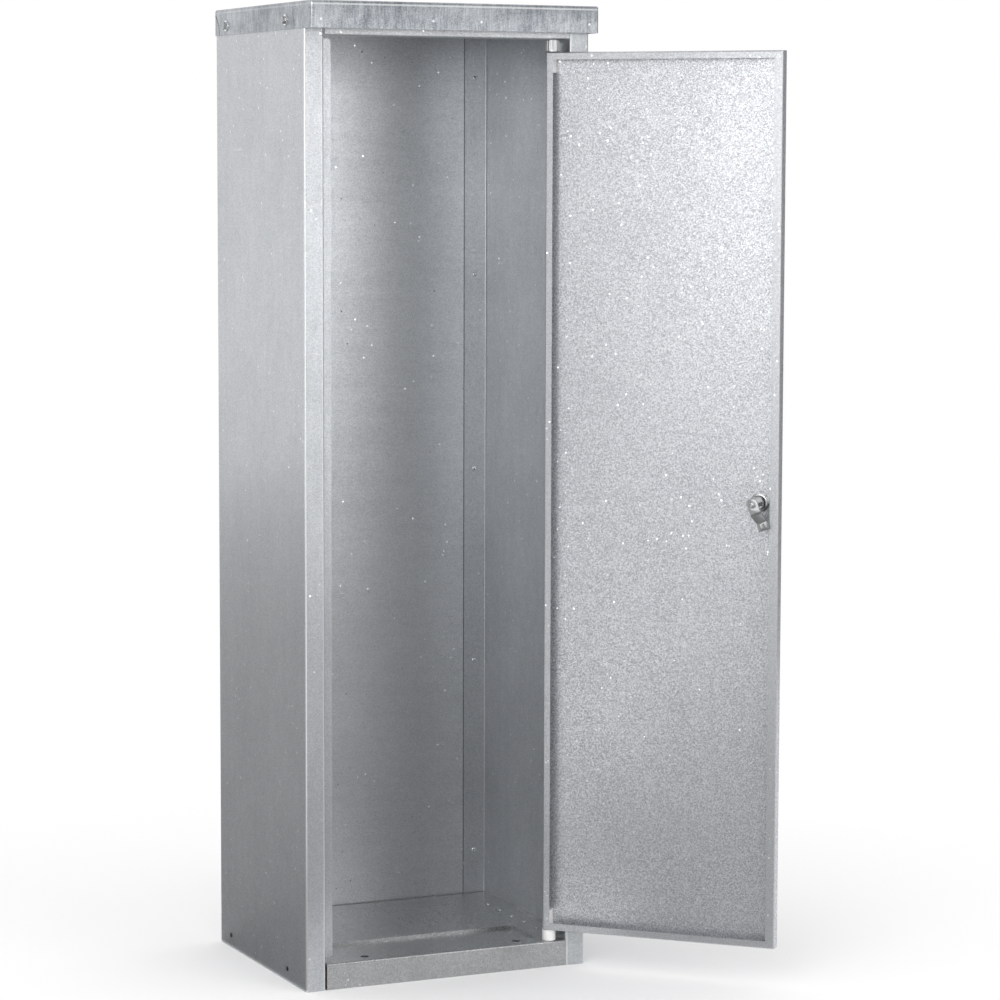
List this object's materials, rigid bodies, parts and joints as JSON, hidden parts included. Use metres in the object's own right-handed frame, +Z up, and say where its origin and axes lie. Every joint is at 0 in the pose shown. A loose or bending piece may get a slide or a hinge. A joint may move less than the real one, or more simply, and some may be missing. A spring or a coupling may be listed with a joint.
{
  "type": "gas cylinder cabinet",
  "caption": "Tall galvanised sheet-steel cabinet that houses a gas cylinder: overhanging roof lid, raised floor tray and a side-hinged door with a quarter-turn cam lock.",
  "frame": {"origin": "middle of the housing's footprint, on the ground", "axes": "+Z up, -Y towards the open front, +X to the right seen from the front, where the door's hinge is"},
  "size_m": [0.6442, 0.6012, 1.4],
  "materials": {
    "galvanised_sheet": "galvanised, satin with fine spangle",
    "door_sheet": "galvanised, satin with bright spangle",
    "zinc_fixings": "bright zinc plate",
    "hinge_sleeve": "drawn, satin",
    "white_nylon": "moulded, slightly translucent",
    "lock_chrome": "polished plate"
  },
  "bodies": {
    "cabinet": {"left_side_wall": "galvanised_sheet", "right_side_wall": "galvanised_sheet", "back_panel": "galvanised_sheet", "roof_lid": "galvanised_sheet", "header_rail": "galvanised_sheet", "floor_tray": "galvanised_sheet", "left_floor_rail": "galvanised_sheet", "right_floor_rail": "galvanised_sheet", "base_rivets": "zinc_fixings", "back_rivets": "zinc_fixings", "header_rivets": "zinc_fixings", "floor_rivets": "zinc_fixings", "roof_screws": "zinc_fixings", "roof_washers": "zinc_fixings", "roof_nuts": "zinc_fixings", "hinge_nuts": "zinc_fixings", "top_hinge_pin": "zinc_fixings", "bottom_hinge_pin": "zinc_fixings", "top_hinge_sleeve": "hinge_sleeve", "bottom_hinge_bush": "white_nylon"},
    "door": {"door_leaf": "door_sheet", "lower_pivot_block": "white_nylon", "upper_pivot_block": "white_nylon", "lock_housing": "lock_chrome", "lock_washer": "lock_chrome", "lock_nut": "lock_chrome"},
    "latch": {"lock_rotor": "lock_chrome", "cam_lever": "lock_chrome", "cam_washer": "lock_chrome", "cam_screw": "lock_chrome"}
  },
  "joints": [
    {"name": "door_hinge", "type": "hinge", "parent": "cabinet", "child": "door", "pos_m": [0.168, -0.165, 0], "axis": [0, 0, 1], "range_deg": [-135, 0]},
    {"name": "lock_turn", "type": "hinge", "parent": "door", "child": "latch", "pos_m": [0.39039, -0.38739, 0.697], "axis": [-0.7071, -0.7071, 0], "range_deg": [-20, 70]}
  ]
}
